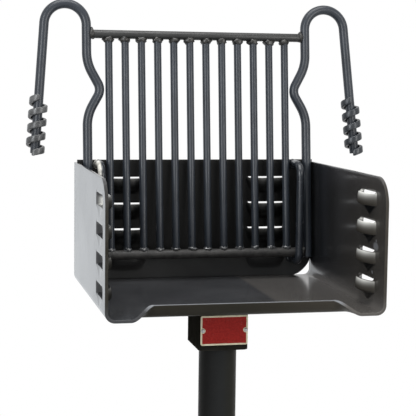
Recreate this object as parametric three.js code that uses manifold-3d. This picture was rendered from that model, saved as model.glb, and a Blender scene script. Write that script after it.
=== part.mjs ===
import * as THREE from 'three';
import Module from 'manifold-3d';
import { mergeVertices } from 'three/addons/utils/BufferGeometryUtils.js';
import { ConvexGeometry } from 'three/addons/geometries/ConvexGeometry.js';

const wasm = await Module();
wasm.setup();

// A park barbecue grill on a pedestal post, in millimetres.
// X is to the right, the open front faces -Y, and Z is up from the ground under the base plate.

// Shared clearances
const touchGap = 0.3;
const cutOverrun = 2;

// Base and post
const basePlateSide = 280;
const basePlateThickness = 10;
const basePlateCornerRadius = 18;
const anchorHoleDiameter = 18;
const anchorHoleInset = 38;
const gussetReach = 62;
const gussetHeight = 90;
const gussetNose = 12;
const gussetThickness = 6.4;
const postDiameter = 60.3;
const postWall = 3.9;
const fireboxFloorHeight = 780;

// Swivel between post and firebox
const spindleDiameter = 25.4;
const spindleFlangeThickness = 8;
const spindleTail = 7;
const thrustWasherThickness = 3;
const bushingFlangeThickness = 3;
const bushingLength = 25;
const betweenBushingsLength = 90;
const bushingRunningGap = 0.4;
const collarWall = 8;
const collarThickness = 9;

// Steel plate of the firebox
const plateThickness = 4.8;
const fireboxInnerWidth = 411;
const fireboxDepth = 370.5;
const fireboxAheadOfPost = 12.6;
const wallHeight = 204;
const wallCornerRadius = 42;
const floorBendRadius = 10;
const backPlateRise = 4.2;
const drainCornerRadius = 30;

// Front edge of the floor, turned up between two flat corners
const flatCornerWidth = 33;
const lipEaseWidth = 36;
const lipSetback = 42;
const lipBendRadius = 15;
const lipStripLength = 28.2;
const leastBendShare = 0.03;

// Pressed tabs that hold the grate at four levels
const tabRows = 4;
const tabTopDrop = 27;
const lowestTabHeight = 45;
const tabLength = 68;
const tabLipShares = [[-1, 0], [-0.72, 0.64], [-0.42, 0.93], [0.42, 0.93], [0.72, 0.64], [1, 0]];
const tabFaceHeight = 18;
const tabCheekHeight = 14;
const tabSkin = 3.4;
const tabSlotHeight = 2.7;
const rightTabProjection = 14.5;
const rightTabFromFront = 75.5;
const leftTabProjection = 12.5;
const leftTabFromFront = 60.5;
const tabTipWidth = 60;
const tabTipDrop = 30;
const tabTipProjection = 4;
const rearTabProjection = 13;
const rearTabFromWall = 82.5;

// Support bracket under the floor, with its name plate
const bracketSideClearance = 5.05;
const bracketFrontClearance = 9.05;
const bracketHeight = 78;
const bracketBendRadius = 4;
const namePlateFromSide = 2;
const namePlateFromTop = 22.2;
const namePlateFromBottom = 8.8;
const namePlateThickness = 1.2;
const namePlateCornerRadius = 3;
const rivetFromEdge = 3.4;
const rivetShankDiameter = 3.2;
const rivetHoleClearance = 0.35;
const rivetHeadDiameter = 6;
const rivetHeadHeight = 1.8;
const rivetPinLength = 4.2;

// Grate
const cookingBarCount = 12;
const cookingBarDiameter = 12.7;
const frameBarDiameter = 15.9;
const sideBarFromWall = 15.3;
const outerBarFromSideBar = 37.3;
const grateFrontOverhang = 34.5;
const grateRestHeight = 50;
const grateLean = THREE.MathUtils.degToRad(6.2);
const sideBarTail = 9;

// Inward kink of each side bar, which lets it pass the side tabs
const kinkPastTab = 16;
const kinkRearAllowance = 8.5;
const kinkFrontAllowance = 10.5;
const kinkBeyondTab = 9.6;
const kinkBendRadius = 22;
const kinkEndBendRadius = 70;

// Handle loop at the top of each side bar
const loopRadius = 35.2;
const loopRise = 13.7;
const handleSplay = THREE.MathUtils.degToRad(4.6);
const handleLegLength = 218;

// Flat strip wound round each handle as a cool grip
const gripPitch = 22.8;
const gripTurns = 4.08;
const gripTopTurnShare = 0.75;
const gripStripWidth = 11;
const gripStripThickness = 5.5;
const gripClearance = 2.4;
const gripEndTurnsShare = 0.35;

// Guide rods that trap the rear crossbar
const guideRodDiameter = 12.7;
const guideRodArchRadius = 20;
const guideRodFootRadius = 13;
const guideRodClearance = 0.5;

// Facets of round pieces
const barSides = 12;
const pipeSides = 32;
const bendSteps = 5;
const lipBendSteps = 6;
const lipEaseSteps = 8;
const lipHalvings = 30;
const roundCornerSteps = 3;
const gripStepsPerTurn = 14;

// Places worked out from the sizes above
const barRadius = cookingBarDiameter / 2;
const frameBarRadius = frameBarDiameter / 2;
const guideRodRadius = guideRodDiameter / 2;
const postRadius = postDiameter / 2;
const floorZ = fireboxFloorHeight;
const innerWallX = fireboxInnerWidth / 2;
const outerWallX = innerWallX + plateThickness;
const backFaceY = fireboxDepth / 2 - fireboxAheadOfPost;
const rearEdgeY = backFaceY + plateThickness;
const frontEdgeY = backFaceY - fireboxDepth;
const wallTopZ = floorZ + wallHeight;
const backTopZ = wallTopZ + backPlateRise;
const rightTabY = frontEdgeY + rightTabFromFront;
const leftTabY = frontEdgeY + leftTabFromFront;
const rearTabX = innerWallX - rearTabFromWall;
const topTabZ = wallTopZ - tabTopDrop;
const tabRowPitch = (topTabZ - floorZ - lowestTabHeight) / (tabRows - 1);
const crossbarZ = floorZ + grateRestHeight;
const leanAtTopTab = (topTabZ - crossbarZ) * Math.tan(grateLean);
const barToTab = barRadius / Math.cos(grateLean) + touchGap;
const crossbarY = backFaceY - rearTabProjection - barToTab - leanAtTopTab;
const grateLength = crossbarY - frontEdgeY + grateFrontOverhang;
const sideBarFromMiddle = innerWallX - sideBarFromWall;
const outerCookingBarX = sideBarFromMiddle - outerBarFromSideBar;
const cookingBarPitch = 2 * outerCookingBarX / (cookingBarCount - 1);
const guideRodX = (outerCookingBarX + barRadius + sideBarFromMiddle - frameBarRadius) / 2;
const guideRodLegY = crossbarY - frameBarRadius - guideRodClearance - guideRodRadius;
const guideRodFootZ = crossbarZ - frameBarRadius - touchGap - guideRodRadius;
const guideRodTopZ = backTopZ - guideRodRadius;
const spindleFlangeZ = floorZ - touchGap - spindleFlangeThickness;
const thrustWasherZ = spindleFlangeZ - touchGap - thrustWasherThickness;
const bushingTopZ = thrustWasherZ - touchGap;
const postTopZ = bushingTopZ - bushingFlangeThickness - touchGap;
const lowerBushingZ = bushingTopZ - betweenBushingsLength - bushingLength;
const postBottomZ = basePlateThickness + touchGap;

// Materials
const blackEnamel = new THREE.MeshStandardMaterial({ color: 0x1d1e20, roughness: 0.34, metalness: 0.25 });
const wallEnamel = new THREE.MeshStandardMaterial({ color: 0x232427, roughness: 0.28, metalness: 0.25 });
const barEnamel = new THREE.MeshStandardMaterial({ color: 0x3a3f45, roughness: 0.42, metalness: 0.45 });
const gripSteel = new THREE.MeshStandardMaterial({ color: 0x4a4c4c, roughness: 0.45, metalness: 0.7 });
const plateRed = new THREE.MeshStandardMaterial({ color: 0x7e1a16, roughness: 0.4, metalness: 0.1 });
const bareSteel = new THREE.MeshStandardMaterial({ color: 0x9a9c9c, roughness: 0.35, metalness: 0.9 });
const bronze = new THREE.MeshStandardMaterial({ color: 0x8a6a3a, roughness: 0.45, metalness: 0.8 });

// Solids from geometries, and back again
function toSolid(geometry) {
  const bare = geometry.clone();
  for (const name of Object.keys(bare.attributes)) {
    if (name !== 'position') bare.deleteAttribute(name);
  }
  const merged = mergeVertices(bare);
  return new wasm.Manifold(new wasm.Mesh({
    numProp: 3,
    vertProperties: new Float32Array(merged.attributes.position.array),
    triVerts: new Uint32Array(merged.index.array),
  }));
}

function toGeometry(solid) {
  const mesh = solid.getMesh();
  const geometry = new THREE.BufferGeometry();
  geometry.setAttribute('position', new THREE.BufferAttribute(mesh.vertProperties, 3));
  geometry.setIndex(new THREE.BufferAttribute(mesh.triVerts, 1));
  return geometry;
}

function cut(geometry, tools) {
  return toGeometry(tools.map(toSolid).reduce((rest, tool) => rest.subtract(tool), toSolid(geometry)));
}

// Round bar, pipe or disc that stands on z
function standing(radius, height, z, sides) {
  const geometry = new THREE.CylinderGeometry(radius, radius, height, sides);
  geometry.rotateX(Math.PI / 2);
  geometry.translate(0, 0, z + height / 2);
  return geometry;
}

function acrossBar(radius, length) {
  const geometry = new THREE.CylinderGeometry(radius, radius, length, barSides);
  geometry.rotateZ(Math.PI / 2);
  return geometry;
}

function turned(profile, sides) {
  const points = profile.map(([radius, height]) => new THREE.Vector2(radius, height));
  const geometry = new THREE.LatheGeometry([...points, points[0]], sides);
  geometry.rotateX(Math.PI / 2);
  return geometry;
}

function roundedOutline(width, height, radius) {
  const x = width / 2;
  const y = height / 2;
  const shape = new THREE.Shape();
  shape.moveTo(-x + radius, -y);
  shape.lineTo(x - radius, -y);
  shape.absarc(x - radius, -y + radius, radius, -Math.PI / 2, 0);
  shape.lineTo(x, y - radius);
  shape.absarc(x - radius, y - radius, radius, 0, Math.PI / 2);
  shape.lineTo(-x + radius, y);
  shape.absarc(-x + radius, y - radius, radius, Math.PI / 2, Math.PI);
  shape.lineTo(-x, -y + radius);
  shape.absarc(-x + radius, -y + radius, radius, Math.PI, Math.PI * 3 / 2);
  return shape;
}

function circleHole(x, y, radius) {
  const hole = new THREE.Path();
  hole.absarc(x, y, radius, 0, Math.PI * 2, true);
  return hole;
}

function extruded(shape, depth, curveSegments = roundCornerSteps) {
  return new THREE.ExtrudeGeometry(shape, { depth, bevelEnabled: false, curveSegments });
}

// Circular bend of a bar, turning from one straight run into the next
class BendCurve extends THREE.Curve {
  constructor(centre, start, end) {
    super();
    this.centre = centre;
    this.from = start.clone().sub(centre);
    this.to = end.clone().sub(centre);
    this.angle = this.from.angleTo(this.to);
  }

  getPoint(t, target = new THREE.Vector3()) {
    const whole = Math.sin(this.angle);
    target.copy(this.centre);
    target.addScaledVector(this.from, Math.sin((1 - t) * this.angle) / whole);
    return target.addScaledVector(this.to, Math.sin(t * this.angle) / whole);
  }
}

// Centreline through corner points, with a round bend at each inner corner
function bentPath(corners, radii) {
  const path = new THREE.CurvePath();
  let start = corners[0];
  for (let i = 1; i < corners.length - 1; i += 1) {
    const back = corners[i - 1].clone().sub(corners[i]).normalize();
    const ahead = corners[i + 1].clone().sub(corners[i]).normalize();
    const half = back.angleTo(ahead) / 2;
    const reach = radii[i - 1] / Math.tan(half);
    const bendStart = corners[i].clone().addScaledVector(back, reach);
    const bendEnd = corners[i].clone().addScaledVector(ahead, reach);
    const towards = back.clone().add(ahead).normalize();
    const centre = corners[i].clone().addScaledVector(towards, radii[i - 1] / Math.sin(half));
    path.add(new THREE.LineCurve3(start, bendStart));
    path.add(new BendCurve(centre, bendStart, bendEnd));
    start = bendEnd;
  }
  path.add(new THREE.LineCurve3(start, corners[corners.length - 1]));
  return path;
}

function barAlong(path, radius, steps) {
  const section = new THREE.Shape();
  section.absarc(0, 0, radius, 0, Math.PI * 2);
  const options = { steps, bevelEnabled: false, extrudePath: path, curveSegments: barSides / 2 };
  return new THREE.ExtrudeGeometry(section, options);
}

// Closed skin from rings of points, each ring joined to the next and the two ends capped
function skinned(rings) {
  const count = rings[0].length;
  const positions = rings.flat().flatMap((point) => [point.x, point.y, point.z]);
  const index = [];
  for (let i = 0; i < rings.length - 1; i += 1) {
    for (let j = 0; j < count; j += 1) {
      const a = i * count + j;
      const b = i * count + (j + 1) % count;
      index.push(a, b, b + count, a, b + count, a + count);
    }
  }
  const last = (rings.length - 1) * count;
  for (let j = 1; j < count - 1; j += 1) {
    index.push(0, j + 1, j);
    index.push(last, last + j, last + j + 1);
  }
  const geometry = new THREE.BufferGeometry();
  geometry.setAttribute('position', new THREE.Float32BufferAttribute(positions, 3));
  geometry.setIndex(index);
  return geometry;
}

// Base and post
function basePlate() {
  const outline = roundedOutline(basePlateSide, basePlateSide, basePlateCornerRadius);
  const reach = basePlateSide / 2 - anchorHoleInset;
  for (const x of [-reach, reach]) {
    for (const y of [-reach, reach]) outline.holes.push(circleHole(x, y, anchorHoleDiameter / 2));
  }
  return extruded(outline, basePlateThickness);
}

function gusset() {
  const inner = postRadius + touchGap;
  const outline = new THREE.Shape();
  outline.moveTo(inner, postBottomZ);
  outline.lineTo(inner + gussetReach, postBottomZ);
  outline.lineTo(inner + gussetReach, postBottomZ + gussetNose);
  outline.lineTo(inner + gussetNose, postBottomZ + gussetHeight);
  outline.lineTo(inner, postBottomZ + gussetHeight);
  const geometry = extruded(outline, gussetThickness);
  geometry.translate(0, 0, -gussetThickness / 2);
  geometry.rotateX(Math.PI / 2);
  return geometry;
}

function postPipe() {
  const bore = postRadius - postWall;
  const profile = [[bore, postBottomZ], [postRadius, postBottomZ], [postRadius, postTopZ], [bore, postTopZ]];
  return turned(profile, pipeSides);
}

// Swivel
const spindleRadius = spindleDiameter / 2;
const bushingBore = spindleRadius + bushingRunningGap;
const bushingRadius = postRadius - postWall - touchGap;
const ringBore = spindleRadius + touchGap;

function upperBushing() {
  const shoulderZ = bushingTopZ - bushingFlangeThickness;
  const bottomZ = bushingTopZ - bushingLength;
  return turned([
    [bushingBore, bottomZ],
    [bushingRadius, bottomZ],
    [bushingRadius, shoulderZ],
    [postRadius, shoulderZ],
    [postRadius, bushingTopZ],
    [bushingBore, bushingTopZ],
  ], pipeSides);
}

function lowerBushing() {
  const topZ = lowerBushingZ + bushingLength;
  return turned([
    [bushingBore, lowerBushingZ],
    [bushingRadius, lowerBushingZ],
    [bushingRadius, topZ],
    [bushingBore, topZ],
  ], pipeSides);
}

function pivotSpindle() {
  const tailZ = lowerBushingZ - touchGap - collarThickness - spindleTail;
  return turned([
    [0, tailZ],
    [spindleRadius, tailZ],
    [spindleRadius, spindleFlangeZ],
    [postRadius, spindleFlangeZ],
    [postRadius, spindleFlangeZ + spindleFlangeThickness],
    [0, spindleFlangeZ + spindleFlangeThickness],
  ], pipeSides);
}

function ringAround(outerRadius, thickness, z) {
  const topZ = z + thickness;
  return turned([[ringBore, z], [outerRadius, z], [outerRadius, topZ], [ringBore, topZ]], pipeSides);
}

// One tab, as the metal pushed inwards and the pocket behind it.
// Local u runs along the wall, w points into the firebox and z is up from the top of the tab.
function hullOf(points, place) {
  return new ConvexGeometry(points.map(([u, w, z]) => place(u, w, z)));
}

function tabMetal({ place, projection }) {
  const root = -plateThickness / 2;
  const points = [];
  for (const [uShare, wShare] of tabLipShares) {
    const u = uShare * tabLength / 2;
    const height = THREE.MathUtils.lerp(tabCheekHeight, tabFaceHeight, wShare);
    points.push([u, wShare * projection, 0], [u, wShare * projection, -height]);
    points.push([u, root, 0], [u, root, -height]);
  }
  return hullOf(points, place);
}

// Triangle drawn down from the underside of a side tab to a point on the wall
function tabTip({ place }) {
  const root = -plateThickness / 2;
  const topZ = tabSkin - tabFaceHeight;
  const half = tabTipWidth / 2;
  return hullOf([
    [-half, root, topZ], [half, root, topZ], [0, root, -tabTipDrop], [0, 0, -tabTipDrop],
    [-half, 0, -tabFaceHeight], [half, 0, -tabFaceHeight],
    [-half / 2, tabTipProjection, topZ], [half / 2, tabTipProjection, topZ],
    [-half / 2, tabTipProjection, -tabFaceHeight], [half / 2, tabTipProjection, -tabFaceHeight],
  ], place);
}

function tabPocket({ place, projection }) {
  const outer = -plateThickness - cutOverrun;
  const bottom = tabSkin - tabFaceHeight;
  const half = tabLength / 2 - tabSkin;
  const points = [];
  for (const [uShare, wShare] of tabLipShares) {
    const u = uShare * half;
    const w = wShare * (projection - tabSkin);
    points.push([u, outer, tabSlotHeight], [u, outer, bottom], [u, w, tabSlotHeight], [u, w, bottom]);
  }
  return hullOf(points, place);
}

function withTabs(plate, tabs, metalParts) {
  const metal = tabs.flatMap((tab) => metalParts.map((metalPart) => toSolid(metalPart(tab))));
  const raised = metal.reduce((sum, solid) => sum.add(solid), toSolid(plate));
  return toGeometry(tabs.reduce((rest, tab) => rest.subtract(toSolid(tabPocket(tab))), raised));
}

function tabHeights() {
  return Array.from({ length: tabRows }, (unused, row) => topTabZ - row * tabRowPitch);
}

// Firebox shell: floor and side walls bent from one sheet, with the front edge turned up
function shellStations() {
  const bendX = innerWallX - floorBendRadius;
  const wallBase = floorZ + plateThickness + floorBendRadius;
  const middle = floorBendRadius + plateThickness / 2;
  const stations = [{ x: innerWallX + plateThickness / 2, z: wallTopZ, nx: -1, nz: 0 }];
  for (let i = 0; i <= bendSteps; i += 1) {
    const angle = Math.PI / 2 * i / bendSteps;
    const nx = -Math.cos(angle);
    const nz = Math.sin(angle);
    stations.push({ x: bendX - nx * middle, z: wallBase - nz * middle, nx, nz });
  }
  for (let i = 0; i <= lipEaseSteps; i += 1) {
    const x = innerWallX - flatCornerWidth - lipEaseWidth * i / lipEaseSteps;
    stations.push({ x, z: floorZ + plateThickness / 2, nx: 0, nz: 1 });
  }
  const mirrored = stations.map((station) => ({ ...station, x: -station.x, nx: -station.nx }));
  return [...mirrored, ...stations.reverse()];
}

// Share of the front edge's full rise at a place across it, from flat corner to lip
function lipShare(x) {
  const run = (innerWallX - flatCornerWidth - Math.abs(x)) / lipEaseWidth;
  return THREE.MathUtils.smoothstep(run, 0, 1);
}

// Rise of the front edge's middle for an angle of the bend and a length of sheet past its start
function lipRise(angle, strip) {
  const middle = lipBendRadius + plateThickness / 2;
  return middle * (1 - Math.cos(angle)) + Math.max(strip - angle * middle, 0) * Math.sin(angle);
}

// Length of sheet past the start of the bend, at a share of the lip's rise
function lipStrip(share) {
  return THREE.MathUtils.lerp(lipSetback, lipStripLength, share);
}

// Angle of the upward bend at a place across the lip, found so that its edge rises evenly
function lipAngle(x) {
  const share = lipShare(x);
  if (share === 0) return 0;
  const wanted = share * lipRise(Math.PI / 2, lipStripLength);
  let low = 0;
  let high = Math.PI / 2;
  for (let i = 0; i < lipHalvings; i += 1) {
    const angle = (low + high) / 2;
    if (lipRise(angle, lipStrip(share)) < wanted) low = angle;
    else high = angle;
  }
  return high;
}

// Middle of the sheet and its upward normal in the Y-Z plane, at a run past the start of the bend
function lipSection(angle, run) {
  const middle = lipBendRadius + plateThickness / 2;
  const bendY = frontEdgeY + lipSetback;
  if (angle === 0) return { y: bendY - run, rise: 0, ny: 0, nz: 1 };
  const turn = Math.min(run / middle, angle);
  const straight = Math.max(run - angle * middle, 0);
  return {
    y: bendY - middle * Math.sin(turn) - straight * Math.cos(turn),
    rise: middle * (1 - Math.cos(turn)) + straight * Math.sin(turn),
    ny: Math.sin(turn),
    nz: Math.cos(turn),
  };
}

function shellRing(station) {
  const share = Math.abs(station.nx) > 0 ? 0 : lipShare(station.x);
  const angle = Math.abs(station.nx) > 0 ? 0 : lipAngle(station.x);
  const strip = lipStrip(share);
  const middle = lipBendRadius + plateThickness / 2;
  const bendRun = Math.max(angle, Math.PI / 2 * leastBendShare) * middle;
  const stepRun = Math.min(bendRun, strip) / lipBendSteps;
  const runs = Array.from({ length: lipBendSteps + 1 }, (unused, i) => stepRun * i);
  runs.push(strip);
  const half = plateThickness / 2;
  const side = (sign) => runs.map((run) => {
    const { y, rise, ny, nz } = lipSection(angle, run);
    const x = station.x + sign * half * station.nx;
    return new THREE.Vector3(x, y + sign * half * ny, station.z + rise + sign * half * station.nz * nz);
  });
  const rear = (sign) => new THREE.Vector3(
    station.x + sign * half * station.nx, rearEdgeY, station.z + sign * half * station.nz);
  return [rear(1), ...side(1), ...side(-1).reverse(), rear(-1)];
}

function wallCornerCutter() {
  const inset = wallCornerRadius;
  const outline = new THREE.Shape();
  outline.moveTo(frontEdgeY - cutOverrun, wallTopZ + cutOverrun);
  outline.lineTo(frontEdgeY - cutOverrun, wallTopZ - inset);
  outline.lineTo(frontEdgeY, wallTopZ - inset);
  outline.absarc(frontEdgeY + inset, wallTopZ - inset, inset, Math.PI, Math.PI / 2, true);
  outline.lineTo(frontEdgeY + inset, wallTopZ + cutOverrun);
  const length = 2 * (outerWallX + cutOverrun);
  const geometry = extruded(outline, length, 2 * roundCornerSteps);
  geometry.applyMatrix4(new THREE.Matrix4().makeBasis(
    new THREE.Vector3(0, 1, 0), new THREE.Vector3(0, 0, 1), new THREE.Vector3(1, 0, 0)));
  geometry.translate(-length / 2, 0, 0);
  return geometry;
}

function fireboxShell() {
  const sheet = skinned(shellStations().map(shellRing));
  const sides = [
    { side: -1, projection: leftTabProjection, y: leftTabY },
    { side: 1, projection: rightTabProjection, y: rightTabY },
  ];
  const tabs = sides.flatMap(({ side, projection, y }) => tabHeights().map((z) => ({
    place: (u, w, up) => new THREE.Vector3(side * (innerWallX - w), y + u, z + up),
    projection,
  })));
  return withTabs(cut(sheet, [wallCornerCutter()]), tabs, [tabMetal, tabTip]);
}

function backPlate() {
  const x = innerWallX - touchGap;
  const bottom = floorZ + plateThickness + touchGap;
  const r = drainCornerRadius;
  const outline = new THREE.Shape();
  outline.moveTo(-x + r, bottom);
  outline.lineTo(x - r, bottom);
  outline.absarc(x - r, bottom + r, r, -Math.PI / 2, 0);
  outline.lineTo(x, backTopZ);
  outline.lineTo(-x, backTopZ);
  outline.lineTo(-x, bottom + r);
  outline.absarc(-x + r, bottom + r, r, Math.PI, Math.PI * 3 / 2);
  const plate = extruded(outline, plateThickness, 2 * roundCornerSteps);
  plate.rotateX(Math.PI / 2);
  plate.translate(0, rearEdgeY, 0);
  const tabs = [-1, 1].flatMap((side) => tabHeights().map((z) => ({
    place: (u, w, up) => new THREE.Vector3(side * rearTabX + u, backFaceY - w, z + up),
    projection: rearTabProjection,
  })));
  return withTabs(plate, tabs, [tabMetal]);
}

function guideRod(side) {
  const x = side * guideRodX;
  const endY = backFaceY - touchGap;
  const corners = [
    new THREE.Vector3(x, endY, guideRodTopZ),
    new THREE.Vector3(x, guideRodLegY, guideRodTopZ),
    new THREE.Vector3(x, guideRodLegY, guideRodFootZ),
    new THREE.Vector3(x, endY, guideRodFootZ),
  ];
  const length = 2 * (endY - guideRodLegY) + guideRodTopZ - guideRodFootZ;
  const path = bentPath(corners, [guideRodArchRadius, guideRodFootRadius]);
  return barAlong(path, guideRodRadius, Math.round(length / guideRodRadius));
}

// Support bracket, a channel whose web faces the front
const bracketHalfWidth = postRadius + bracketSideClearance + plateThickness;
const bracketFrontY = -(postRadius + bracketFrontClearance + plateThickness);
const bracketTopZ = floorZ - touchGap;
const namePlateWidth = 2 * (bracketHalfWidth - namePlateFromSide);
const namePlateHeight = bracketHeight - namePlateFromTop - namePlateFromBottom;
const namePlateZ = bracketTopZ - namePlateFromTop - namePlateHeight / 2;
const rivetX = namePlateWidth / 2 - rivetFromEdge;

function rivetBore(side) {
  const inward = rivetPinLength + touchGap;
  const outward = namePlateThickness + touchGap + cutOverrun;
  const radius = rivetShankDiameter / 2 + rivetHoleClearance;
  const geometry = new THREE.CylinderGeometry(radius, radius, inward + outward, barSides);
  geometry.translate(side * rivetX, bracketFrontY + (inward - outward) / 2, namePlateZ);
  return geometry;
}

function supportBracket() {
  const x = bracketHalfWidth;
  const rear = -bracketFrontY;
  const t = plateThickness;
  const inner = bracketBendRadius;
  const outer = inner + t;
  const outline = new THREE.Shape();
  outline.moveTo(-x, rear);
  outline.lineTo(-x, bracketFrontY + outer);
  outline.absarc(-x + outer, bracketFrontY + outer, outer, Math.PI, Math.PI * 3 / 2);
  outline.lineTo(x - outer, bracketFrontY);
  outline.absarc(x - outer, bracketFrontY + outer, outer, -Math.PI / 2, 0);
  outline.lineTo(x, rear);
  outline.lineTo(x - t, rear);
  outline.lineTo(x - t, bracketFrontY + outer);
  outline.absarc(x - outer, bracketFrontY + outer, inner, 0, -Math.PI / 2, true);
  outline.lineTo(-x + outer, bracketFrontY + t);
  outline.absarc(-x + outer, bracketFrontY + outer, inner, -Math.PI / 2, -Math.PI, true);
  outline.lineTo(-x + t, rear);
  const channel = extruded(outline, bracketHeight);
  channel.translate(0, 0, bracketTopZ - bracketHeight);
  return cut(channel, [rivetBore(-1), rivetBore(1)]);
}

function namePlate() {
  const outline = roundedOutline(namePlateWidth, namePlateHeight, namePlateCornerRadius);
  const plate = extruded(outline, namePlateThickness);
  plate.rotateX(Math.PI / 2);
  plate.translate(0, bracketFrontY - touchGap, namePlateZ);
  return cut(plate, [rivetBore(-1), rivetBore(1)]);
}

function rivet() {
  const shank = rivetShankDiameter / 2;
  const head = rivetHeadDiameter / 2;
  const faceDepth = namePlateThickness + 2 * touchGap;
  const dome = Array.from({ length: bendSteps }, (unused, i) => {
    const angle = Math.PI / 2 * i / bendSteps;
    return [head * Math.cos(angle), faceDepth + rivetHeadHeight * Math.sin(angle)];
  });
  const geometry = turned([
    [0, -rivetPinLength],
    [shank, -rivetPinLength],
    [shank, faceDepth],
    ...dome,
    [0, faceDepth + rivetHeadHeight],
  ], barSides);
  geometry.rotateX(Math.PI / 2);
  geometry.translate(0, bracketFrontY, namePlateZ);
  return geometry;
}

// Grate, drawn with its bars along z and its rear crossbar on the x axis
const sideBarInnerX = sideBarFromMiddle - frameBarRadius - touchGap;
const kinkFromRear = crossbarY - rightTabY + kinkPastTab;
const kinkDepth = rightTabProjection + kinkBeyondTab;
const kinkStart = kinkFromRear - tabLength / 2 - kinkRearAllowance;
const kinkEnd = kinkFromRear + tabLength / 2 + kinkFrontAllowance;

function cookingBar() {
  const end = frameBarRadius + touchGap;
  return standing(barRadius, grateLength - 2 * end, end, barSides);
}

function sideBarCorners() {
  const x = sideBarFromMiddle;
  const loopZ = grateLength + loopRise;
  const halfTurn = (Math.PI - handleSplay) / 2;
  const apexReach = loopRadius * Math.tan(halfTurn / 2);
  const legDown = new THREE.Vector3(Math.sin(handleSplay), 0, -Math.cos(handleSplay));
  const firstCorner = new THREE.Vector3(x, 0, loopZ + apexReach);
  const turnDirection = new THREE.Vector3(Math.sin(halfTurn), 0, Math.cos(halfTurn));
  const secondCorner = firstCorner.clone().addScaledVector(turnDirection, 2 * apexReach);
  const legStart = secondCorner.clone().addScaledVector(legDown, apexReach);
  return [
    new THREE.Vector3(x, 0, -sideBarTail),
    new THREE.Vector3(x, 0, kinkStart),
    new THREE.Vector3(x - kinkDepth, 0, kinkFromRear),
    new THREE.Vector3(x, 0, kinkEnd),
    firstCorner,
    secondCorner,
    legStart.addScaledVector(legDown, handleLegLength),
  ];
}

function mirroredTo(side, points) {
  return points.map((point) => new THREE.Vector3(side * point.x, point.y, point.z));
}

function sideBar(side) {
  const radii = [kinkEndBendRadius, kinkBendRadius, kinkEndBendRadius, loopRadius, loopRadius];
  const path = bentPath(mirroredTo(side, sideBarCorners()), radii);
  return barAlong(path, frameBarRadius, Math.round(path.getLength() / frameBarDiameter * 2));
}

// Handle grip: a flat strip in an open right-hand coil whose two ends close on the bar
function gripRadius(turn) {
  const innerFlat = (frameBarRadius + touchGap) / Math.cos(Math.PI / gripStepsPerTurn);
  const closed = innerFlat + gripStripThickness / 2;
  const open = frameBarRadius + gripClearance + gripStripThickness / 2;
  const fromEnd = Math.min(turn, gripTurns - turn) / gripEndTurnsShare;
  return THREE.MathUtils.lerp(closed, open, THREE.MathUtils.smoothstep(fromEnd, 0, 1));
}

function gripRings(side) {
  const leg = mirroredTo(side, sideBarCorners().slice(-2));
  const up = leg[0].clone().sub(leg[1]).normalize();
  const front = new THREE.Vector3(0, -1, 0);
  const right = new THREE.Vector3().crossVectors(up, front);
  const steps = Math.round(gripTurns * gripStepsPerTurn);
  return Array.from({ length: steps + 1 }, (unused, i) => {
    const turn = gripTurns * i / steps;
    const angle = 2 * Math.PI * (turn - gripTurns + gripTopTurnShare);
    const radius = gripRadius(turn);
    const outward = right.clone().multiplyScalar(Math.cos(angle)).addScaledVector(front, -Math.sin(angle));
    const centre = leg[1].clone().addScaledVector(up, turn * gripPitch);
    centre.addScaledVector(outward, radius);
    return [[-1, -1], [-1, 1], [1, 1], [1, -1]].map(([across, along]) => centre.clone()
      .addScaledVector(outward, across * gripStripThickness / 2)
      .addScaledVector(up, along * gripStripWidth / 2));
  });
}

// Least distance between points of the strip that are more than half a turn apart
function leastSelfGap(rings) {
  const apart = Math.ceil(gripStepsPerTurn / 2) + 1;
  let least = Infinity;
  for (let i = 0; i < rings.length; i += 1) {
    for (let j = i + apart; j < rings.length; j += 1) {
      for (const a of rings[i]) {
        for (const b of rings[j]) least = Math.min(least, a.distanceTo(b));
      }
    }
  }
  return least;
}

// Assembly
const group = new THREE.Group();

function addMesh(parent, name, geometry, material) {
  const mesh = new THREE.Mesh(geometry, material);
  mesh.name = name;
  parent.add(mesh);
  return mesh;
}

const pedestal = new THREE.Group();
group.add(pedestal);
addMesh(pedestal, 'base_plate', basePlate(), blackEnamel);
for (let i = 0; i < 4; i += 1) {
  const mesh = addMesh(pedestal, `base_gusset_${i + 1}`, gusset(), blackEnamel);
  mesh.rotation.z = Math.PI / 2 * i;
}
addMesh(pedestal, 'post_pipe', postPipe(), blackEnamel);
addMesh(pedestal, 'upper_bushing', upperBushing(), bronze);
addMesh(pedestal, 'lower_bushing', lowerBushing(), bronze);

const firebox = new THREE.Group();
group.add(firebox);
addMesh(firebox, 'pivot_spindle', pivotSpindle(), bareSteel);
const washer = ringAround(postRadius, thrustWasherThickness, thrustWasherZ);
addMesh(firebox, 'thrust_washer', washer, bareSteel);
const collar = ringAround(ringBore + collarWall, collarThickness, lowerBushingZ - touchGap - collarThickness);
addMesh(firebox, 'retaining_collar', collar, bareSteel);
addMesh(firebox, 'support_bracket', supportBracket(), blackEnamel);
addMesh(firebox, 'name_plate', namePlate(), plateRed);
for (const [name, side] of [['left', -1], ['right', 1]]) {
  addMesh(firebox, `name_plate_rivet_${name}`, rivet(), bareSteel).position.x = side * rivetX;
  addMesh(firebox, `guide_rod_${name}`, guideRod(side), barEnamel);
}
addMesh(firebox, 'firebox_shell', fireboxShell(), wallEnamel);
addMesh(firebox, 'back_plate', backPlate(), wallEnamel);

const crossbarLength = 2 * sideBarInnerX;
const crossbarPivot = new THREE.Group();
crossbarPivot.position.set(0, crossbarY, crossbarZ);
group.add(crossbarPivot);
addMesh(crossbarPivot, 'rear_crossbar', acrossBar(frameBarRadius, crossbarLength), barEnamel);

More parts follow.
